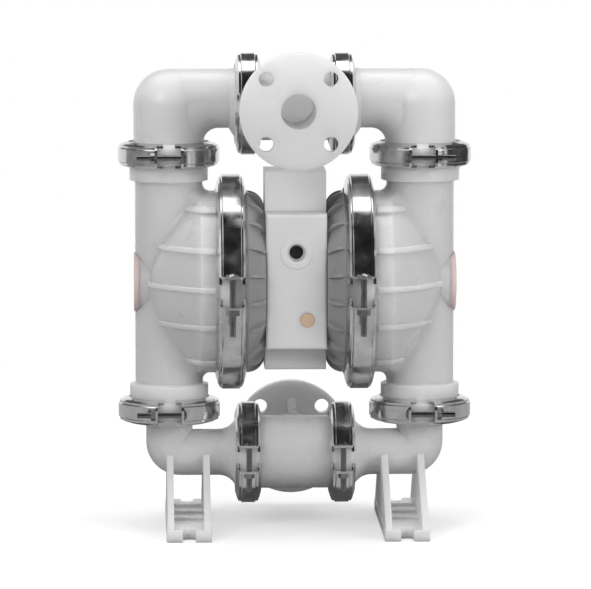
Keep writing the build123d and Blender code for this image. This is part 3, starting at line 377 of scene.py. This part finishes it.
def band_steel(name, centre, axis):
    """Polished steel band with fine lines round the clamp's axis."""
    shader = Shader(name)
    lines = shader.effect(rolled_streaks, centre=centre, axis=axis)
    shader.set(metallic=1.0)
    shades = shader.node("ShaderNodeMix", data_type="RGBA")
    shades.inputs["A"].default_value = (*band_dark, 1.0)
    shades.inputs["B"].default_value = (*band_bright, 1.0)
    shader.join(lines.outputs["Patches"], shades.inputs["Factor"])
    shader.join(shades.outputs["Result"], shader.surface.inputs["Base Color"])
    rough = shader.node("ShaderNodeMapRange")
    rough.inputs["From Min"].default_value, rough.inputs["From Max"].default_value = noise_span
    rough.inputs["To Min"].default_value, rough.inputs["To Max"].default_value = band_polish
    shader.join(lines.outputs["Patches"], rough.inputs["Value"])
    shader.join(rough.outputs["Result"], shader.surface.inputs["Roughness"])
    bump = shader.node("ShaderNodeBump")
    bump.inputs["Strength"].default_value = 0.12
    bump.inputs["Distance"].default_value = 0.0002
    shader.join(lines.outputs["Streaks"], bump.inputs["Height"])
    shader.join(bump.outputs["Normal"], shader.surface.inputs["Normal"])
    return shader.material


def plain_metal(name, colour, gloss, size=60.0):
    """Turned or cold-formed metal."""
    shader = Shader(name)
    shader.set(metallic=1.0)
    uneven_colour(shader, colour, depth=0.12, size=size)
    uneven_gloss(shader, *gloss, size=size)
    peel(shader, strength=0.2, depth=0.0002, coarse=300.0, fine=2500.0)
    return shader.material


def soft_rubber(name, colour):
    """Matt black rubber."""
    shader = Shader(name)
    uneven_colour(shader, colour, depth=0.2, size=40.0)
    uneven_gloss(shader, low=0.55, high=0.75, size=40.0)
    peel(shader, strength=0.3, depth=0.0002, coarse=400.0, fine=3000.0)
    return shader.material


white = (0.80, 0.80, 0.80)
# Painted shade: the inlet tee's white is darker than the rest of the white plastic, for the shade it sits in
# low down
shaded_inlet_tee_white = (0.68, 0.68, 0.68)
block_white = (0.73, 0.73, 0.73)
# Near black, painted into the valve body's bore as its shade
painted_bore_shade_black = (0.02, 0.02, 0.02)
white_plastic = milky_plastic("white_polypropylene", white, thin_shell_milk)
# Painted light: a lighter-rendering copy of the white plastic for the discharge elbows
lit_elbow_plastic = milky_plastic("lit_elbow_polypropylene", white, lit_elbow_milk)
foot_plastic = milky_plastic("foot_polypropylene", white, foot_milk)
tee_plastic = milky_plastic("tee_polypropylene", white, tee_milk)
shaded_inlet_tee_plastic = milky_plastic("shaded_inlet_tee_polypropylene", shaded_inlet_tee_white, foot_milk)
block_plastic = moulded_plastic("block_polypropylene", block_white, glow=dry_glow)
valve_plastic = body_with_painted_bore_shade("valve_polypropylene", block_white, painted_bore_shade_black)
grey_plastic = moulded_plastic("grey_polypropylene", (0.31, 0.31, 0.31), gloss=glossy)
pale_disc = moulded_plastic("pale_disc", (0.72, 0.55, 0.55), glow=dry_glow)
plug_plastic = moulded_plastic("plug_plastic", (0.70, 0.50, 0.36), glow=small_glow)
seat_plastic = moulded_plastic("seat_plastic", (0.70, 0.70, 0.66))
ball_plastic = moulded_plastic("ball_plastic", (0.80, 0.80, 0.77), glow=small_glow)
bushing_plastic = moulded_plastic("bushing_plastic", (0.55, 0.52, 0.42))
muffler_plastic = moulded_plastic("muffler_plastic", (0.03, 0.03, 0.03), gloss=(0.5, 0.7))
fastener_steel = plain_metal("fastener_steel", (0.30, 0.30, 0.31), polished)
shaft_steel = plain_metal("shaft_steel", (0.55, 0.55, 0.56), polished)
piston_aluminium = plain_metal("piston_aluminium", (0.62, 0.62, 0.63), (0.30, 0.42))
spool_aluminium = plain_metal("spool_aluminium", (0.06, 0.06, 0.065), (0.28, 0.40))
diaphragm_rubber = soft_rubber("diaphragm_rubber", (0.03, 0.03, 0.03))
seal_rubber = soft_rubber("seal_rubber", (0.02, 0.02, 0.02))
gasket_rubber = soft_rubber("gasket_rubber", (0.05, 0.05, 0.05))

finish_of_slot = {
    "white_polypropylene": white_plastic,
    "block_polypropylene": block_plastic,
    "grey_polypropylene": grey_plastic,
    "pale_disc": pale_disc,
    "plug_plastic": plug_plastic,
    "seat_plastic": seat_plastic,
    "ball_plastic": ball_plastic,
    "bushing_plastic": bushing_plastic,
    "muffler_plastic": muffler_plastic,
    "fastener_steel": fastener_steel,
    "shaft_steel": shaft_steel,
    "piston_aluminium": piston_aluminium,
    "spool_aluminium": spool_aluminium,
    "diaphragm_rubber": diaphragm_rubber,
    "seal_rubber": seal_rubber,
    "gasket_rubber": gasket_rubber,
}

finish_of_node = {
    "discharge_elbow_left": lit_elbow_plastic,
    "discharge_elbow_right": lit_elbow_plastic,
    "inlet_elbow_left": foot_plastic,
    "inlet_elbow_right": foot_plastic,
    "discharge_tee": tee_plastic,
    "inlet_tee": shaded_inlet_tee_plastic,
    "air_valve_body": valve_plastic,
}

upright = (0.0, 0.0, 1.0)
lying = (1.0, 0.0, 0.0)
clamp_places = {}
for side, sign in sides:
    clamp_places[f"inlet_column_clamp_{side}"] = ((sign * column_x, 0.0, lower_joint), upright)
    clamp_places[f"discharge_column_clamp_{side}"] = ((sign * column_x, 0.0, upper_joint), upright)
    clamp_places[f"inlet_tee_clamp_{side}"] = ((sign * manifold_joint, 0.0, inlet_height), lying)
    clamp_places[f"discharge_tee_clamp_{side}"] = ((sign * manifold_joint, 0.0, outlet_height), lying)
    clamp_places[f"chamber_clamp_upper_{side}"] = ((sign * chamber_joint, 0.0, diaphragm_height), lying)
    clamp_places[f"chamber_clamp_lower_{side}"] = ((sign * chamber_joint, 0.0, diaphragm_height), lying)


def dress_nodes():
    """Gives every CAD node its finish."""
    slots = {part["node"]: part["material_slot"] for part in frame["record"]["subparts"]}
    band_finishes = {}
    for name, obj in nodes.items():
        if name in clamp_places:
            place = clamp_places[name]
            if place not in band_finishes:
                band_finishes[place] = band_steel(f"clamp_steel_{len(band_finishes) + 1}", *place)
            finish = band_finishes[place]
        else:
            finish = finish_of_node.get(name, finish_of_slot[slots[name]])
        obj.data.materials.clear()
        obj.data.materials.append(finish)


def finish_piece(obj, name, finish):
    """Names a new piece, closes its mesh, turns its faces outwards and gives it its finish."""
    obj.name = name
    bpy.ops.object.mode_set(mode="EDIT")
    bpy.ops.mesh.select_all(action="SELECT")
    bpy.ops.mesh.remove_doubles(threshold=merge_distance)
    bpy.ops.mesh.normals_make_consistent(inside=False)
    bpy.ops.object.mode_set(mode="OBJECT")
    bpy.ops.object.shade_smooth_by_angle(angle=crease_angle)
    obj.data.materials.clear()
    obj.data.materials.append(finish)
    return obj


def copy_of(obj, location=(0.0, 0.0, 0.0), rotation=(0.0, 0.0, 0.0)):
    """A copy with its own mesh, which is moved and turned there, so that the copy's own place is zero."""
    select_none()
    made = obj.copy()
    made.data = obj.data.copy()
    bpy.context.scene.collection.objects.link(made)
    made.location = location
    made.rotation_euler = rotation
    made.select_set(True)
    bpy.context.view_layer.objects.active = made
    bpy.ops.object.transform_apply(location=True, rotation=True, scale=True)
    return made


def web_height(radius):
    """How far the rolled web, an arc with its rise at the middle, stands out at a radius."""
    middle = (hub_radius + web_end_radius) / 2
    half = (web_end_radius - hub_radius) / 2
    bend = (half * half + web_rise * web_rise) / (2 * web_rise)
    return web_rise - bend + math.sqrt(bend * bend - (radius - middle) ** 2)


def diaphragm_section():
    """The cut through a diaphragm, as (distance along X, radius) points from the stud hole's back edge."""
    half, bead = web_thickness / 2, bead_thickness / 2
    arc = [hub_radius + (web_end_radius - hub_radius) * step / web_steps for step in range(web_steps + 1)]
    back = [(-half, hole_radius)] + [(web_height(radius) - half, radius) for radius in arc]
    rim = [(-half, bead_in_radius), (-bead, bead_in_radius), (-bead, rim_radius), (bead, rim_radius),
           (bead, bead_in_radius), (half, bead_in_radius)]
    front = [(web_height(radius) + half, radius) for radius in reversed(arc)] + [(half, hole_radius)]
    return back + rim + front


def sector_middle(sector, centre):
    """The angle about X, from +Y, at which a sector's middle lies."""
    total = Vector((0.0, 0.0, 0.0))
    for point in sector.data.vertices:
        total += point.co - centre
    return math.atan2(total.z, total.y)


def diaphragm_sectors(side, sign):
    """The rubber diaphragm in sectors, between the clamped rim and the shaft."""
    select_none()
    centre = Vector((sign * chamber_joint, 0.0, diaphragm_height))
    section = [centre + Vector((sign * along, 0.0, radius)) for along, radius in diaphragm_section()]
    bpy.ops.mesh.primitive_plane_add(size=0.001, location=section[0])
    first = bpy.context.object
    bpy.ops.object.mode_set(mode="EDIT")
    bpy.ops.mesh.merge(type="CENTER")
    for before, after in zip(section, section[1:]):
        bpy.ops.mesh.extrude_region_move(TRANSFORM_OT_translate={"value": after - before})
    bpy.ops.mesh.select_all(action="SELECT")
    bpy.ops.mesh.edge_face_add()
    bpy.ops.mesh.spin(steps=sector_steps, angle=math.tau / sector_count, center=centre, axis=(1.0, 0.0, 0.0))
    bpy.ops.object.mode_set(mode="OBJECT")
    bpy.ops.object.transform_apply(location=True, rotation=True, scale=True)
    finish_piece(first, f"diaphragm_{side}_sector_1", diaphragm_rubber)
    middle_turn = sector_middle(first, centre)
    for number in range(sector_count):
        turn = number * math.tau / sector_count
        sector = first
        if number:
            place = centre - Matrix.Rotation(turn, 3, "X") @ centre
            sector = copy_of(first, place, (turn, 0.0, 0.0))
            sector.name = f"diaphragm_{side}_sector_{number + 1}"
        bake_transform(sector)
        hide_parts(f"diaphragm_{side}")


def thread_ridge(rod_radius, pitch, length):
    """One helical thread ridge along Z on a rod, closed at both ends."""
    select_none()
    bpy.ops.mesh.primitive_circle_add(vertices=3, radius=ridge_share * pitch, fill_type="NOTHING",
                                      location=(rod_radius, 0.0, 0.0),
                                      rotation=(math.radians(90.0), math.radians(90.0), 0.0))
    ridge = bpy.context.object
    bpy.ops.object.mode_set(mode="EDIT")
    bpy.ops.mesh.select_all(action="SELECT")
    bpy.ops.transform.resize(value=(ridge_flatness, 1.0, 1.0))
    bpy.ops.object.mode_set(mode="OBJECT")
    bpy.ops.object.transform_apply(location=True, rotation=True, scale=True)
    sweep = ridge.modifiers.new("thread", "SCREW")
    sweep.axis = "Z"
    sweep.angle = math.tau
    sweep.screw_offset = pitch
    sweep.iterations = int(length / pitch)
    sweep.steps = thread_steps
    sweep.render_steps = thread_steps
    sweep.use_smooth_shade = False
    bpy.ops.object.modifier_apply(modifier=sweep.name)
    bpy.ops.object.mode_set(mode="EDIT")
    bpy.ops.mesh.select_all(action="SELECT")
    bpy.ops.mesh.fill_holes(sides=3)
    bpy.ops.object.mode_set(mode="OBJECT")
    return ridge


def bolt_threads(name, rod_radius, pitch, stretches, places):
    """The cut threads of one kind of bolt, where they show: beyond the nut and between the clamp's ears."""
    made = []
    for start, length in stretches:
        pattern = thread_ridge(rod_radius, pitch, length)
        for middle, turn in places:
            offset = Matrix.Rotation(turn, 3, "Y") @ Vector((0.0, 0.0, start))
            made.append(copy_of(pattern, Vector(middle) + offset, (0.0, turn, 0.0)))
        bpy.data.objects.remove(pattern)
    select_none()
    for piece in made:
        piece.select_set(True)
    bpy.context.view_layer.objects.active = made[0]
    bpy.ops.object.join()
    piece = finish_piece(bpy.context.object, name, fastener_steel)
    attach(piece, "pump_frame")


def add_bolt_threads():
    """Threads on the clamps' bolts."""
    sideways = {-1: math.radians(-90.0), 1: math.radians(90.0)}
    down = math.radians(180.0)
    small_places = []
    for sign in (-1, 1):
        for front in (-1, 1):
            across = front * small_bolt_reach
            small_places += [((sign * column_x, across, height), sideways[sign])
                             for height in (lower_joint, upper_joint)]
            small_places += [((sign * manifold_joint, across, height), down)
                             for height in (inlet_height, outlet_height)]
    bolt_threads("small_clamp_bolt_threads", small_rod_radius, small_pitch, small_thread_stretches,
                 small_places)
    large_places = [((sign * chamber_joint, front * large_bolt_reach, diaphragm_height), down)
                    for sign in (-1, 1) for front in (-1, 1)]
    bolt_threads("chamber_clamp_bolt_threads", large_rod_radius, large_pitch, large_thread_stretches,
                 large_places)


def add_camera():
    """A long lens a little above and to the left of square on."""
    away = Vector((-math.sin(view_turn) * math.cos(view_elevation),
                   -math.cos(view_turn) * math.cos(view_elevation), math.sin(view_elevation)))
    bpy.ops.object.camera_add(location=view_target + view_distance * away)
    camera = bpy.context.object
    camera.rotation_euler = (-away).to_track_quat("-Z", "Y").to_euler()
    camera.data.sensor_width = sensor_width
    camera.data.lens = sensor_width * view_distance / view_width
    camera.data.clip_end = view_reach
    bpy.context.scene.camera = camera


def add_world():
    """White surroundings for the view and for polished steel, with an even softer light on the pump."""
    world = bpy.data.worlds.new("studio")
    bpy.context.scene.world = world
    world.use_nodes = True
    tree = world.node_tree
    tree.nodes.clear()
    out = tree.nodes.new("ShaderNodeOutputWorld")
    light = tree.nodes.new("ShaderNodeBackground")
    light.inputs["Color"].default_value = (1.0, 1.0, 1.0, 1.0)
    light.inputs["Strength"].default_value = world_light
    seen_white = tree.nodes.new("ShaderNodeBackground")
    seen_white.inputs["Color"].default_value = (1.0, 1.0, 1.0, 1.0)
    rays = tree.nodes.new("ShaderNodeLightPath")
    seen = rays.outputs["Is Camera Ray"]
    for label in ("Is Glossy Ray", "Is Transmission Ray"):
        seen = math_node(tree, "MAXIMUM", seen, rays.outputs[label])
    mix = tree.nodes.new("ShaderNodeMixShader")
    tree.links.new(seen, mix.inputs["Fac"])
    tree.links.new(light.outputs[0], mix.inputs[1])
    tree.links.new(seen_white.outputs[0], mix.inputs[2])
    tree.links.new(mix.outputs[0], out.inputs["Surface"])


def add_floor():
    """White paper on the floor, which takes the pump's shadow and fades into the white surroundings."""
    select_none()
    bpy.ops.mesh.primitive_plane_add(size=2.0 * paper_reach, location=(0.0, 0.0, -floor_gap))
    floor = bpy.context.object
    floor.name = "floor"
    paper = Shader("white_paper")
    paper.set(roughness=0.9)
    glow = paper.node("ShaderNodeEmission")
    rays = paper.node("ShaderNodeLightPath")
    shades = paper.node("ShaderNodeMix", data_type="RGBA")
    shades.inputs["A"].default_value = (paper_shade, paper_shade, paper_shade, 1.0)
    shades.inputs["B"].default_value = (paper_bounce, paper_bounce, paper_bounce, 1.0)
    paper.join(rays.outputs["Is Diffuse Ray"], shades.inputs["Factor"])
    paper.join(shades.outputs["Result"], paper.surface.inputs["Base Color"])
    lift = math_node(paper.tree, "MULTIPLY", rays.outputs["Is Camera Ray"], paper_glow)
    paper.join(lift, glow.inputs["Strength"])
    lit = paper.node("ShaderNodeAddShader")
    paper.join(paper.surface.outputs[0], lit.inputs[0])
    paper.join(glow.outputs[0], lit.inputs[1])
    place = paper.node("ShaderNodeTexCoord")
    distance = paper.node("ShaderNodeVectorMath", operation="LENGTH")
    paper.join(place.outputs["Object"], distance.inputs[0])
    fade = paper.node("ShaderNodeMapRange", interpolation_type="SMOOTHSTEP")
    fade.inputs["From Min"].default_value = paper_fade_start
    fade.inputs["From Max"].default_value = paper_fade_end
    paper.join(distance.outputs["Value"], fade.inputs["Value"])
    clear = paper.node("ShaderNodeBsdfTransparent")
    edge = paper.node("ShaderNodeMixShader")
    paper.join(fade.outputs["Result"], edge.inputs["Fac"])
    paper.join(lit.outputs[0], edge.inputs[1])
    paper.join(clear.outputs[0], edge.inputs[2])
    paper.join(edge.outputs[0], paper.tree.nodes["Material Output"].inputs["Surface"])
    floor.data.materials.append(paper.material)


def add_lamp(name, place, aim, size, power, mirrored=True):
    """A soft square lamp aimed at a point, and whether polished steel mirrors it."""
    bpy.ops.object.light_add(type="AREA", location=place)
    lamp = bpy.context.object
    lamp.name = name
    lamp.data.shape = "RECTANGLE"
    lamp.data.size, lamp.data.size_y = size
    lamp.data.energy = power
    lamp.visible_camera = False
    lamp.visible_glossy = mirrored
    direction = Vector(aim) - Vector(place)
    lamp.rotation_euler = direction.to_track_quat("-Z", "Y").to_euler()


def add_board(name, centre, size, aim, shade):
    """A studio board of an even shade, which only polished surfaces mirror."""
    select_none()
    turn = (Vector(aim) - Vector(centre)).to_track_quat("Z", "Y").to_euler()
    bpy.ops.mesh.primitive_plane_add(size=1.0, location=centre, rotation=turn)
    board = bpy.context.object
    board.name = name
    board.scale = (size[0], size[1], 1.0)
    look = Shader(name)
    tone = look.node("ShaderNodeEmission")
    tone.inputs["Color"].default_value = (shade, shade, shade, 1.0)
    look.join(tone.outputs[0], look.tree.nodes["Material Output"].inputs["Surface"])
    board.data.materials.append(look.material)
    board.visible_camera = False
    board.visible_diffuse = False
    board.visible_shadow = False
    board.visible_transmission = False


def add_studio():
    """The floor, the surroundings, the lamps and the boards that polished steel mirrors."""
    add_world()
    add_floor()
    middle = (0.0, 0.0, 0.27)
    up = (0.0, 0.0, 1.0)
    add_lamp("top", (0.0, -0.1, 2.6), middle, size=(1.1, 0.45), power=19.0, mirrored=False)
    add_lamp("key", (-1.6, -2.6, 1.9), middle, size=(1.4, 1.4), power=35.0)
    add_lamp("fill", (2.0, -2.3, 1.0), middle, size=(1.4, 1.4), power=35.0, mirrored=False)
    add_lamp("rear", (0.0, 2.6, 1.0), (0.0, 0.0, 0.36), size=(1.6, 1.2), power=26.0, mirrored=False)
    add_board("top_board", (0.0, 0.35, 2.5), (2.6, 1.1), middle, shade=2.6)
    add_board("floor_board", (0.0, 0.0, -0.6 * floor_gap), (6.0, 6.0), up, shade=0.50)
    add_board("floor_shade_board", (0.0, 0.35, -0.3 * floor_gap), (1.1, 0.8), (0.0, 0.35, 1.0), shade=0.10)
    add_board("front_board", (0.0, -3.2, 2.0), (9.0, 4.2), (0.0, 0.0, 2.0), shade=0.02)
    add_board("front_top_board", (0.0, -1.9, 3.9), (9.0, 3.0), (0.0, -1.0, 0.0), shade=0.02)
    add_board("rear_board", (0.0, 3.0, 3.4), (9.0, 4.0), (0.0, 0.0, 0.3), shade=0.10)
    add_board("left_board", (-3.0, -0.8, 1.4), (5.0, 3.4), (0.0, 0.0, 0.8), shade=0.30)
    add_board("right_board", (3.0, 0.4, 1.4), (5.0, 3.4), (0.0, 0.0, 0.8), shade=0.05)
    add_board("strip_board", (1.9, -1.9, 0.9), (0.35, 2.4), (0.0, 0.0, 0.6), shade=1.2)


bpy.context.scene.view_settings.view_transform = "Standard"
dress_nodes()
for side, sign in sides:
    diaphragm_sectors(side, sign)
add_bolt_threads()
add_camera()
add_studio()
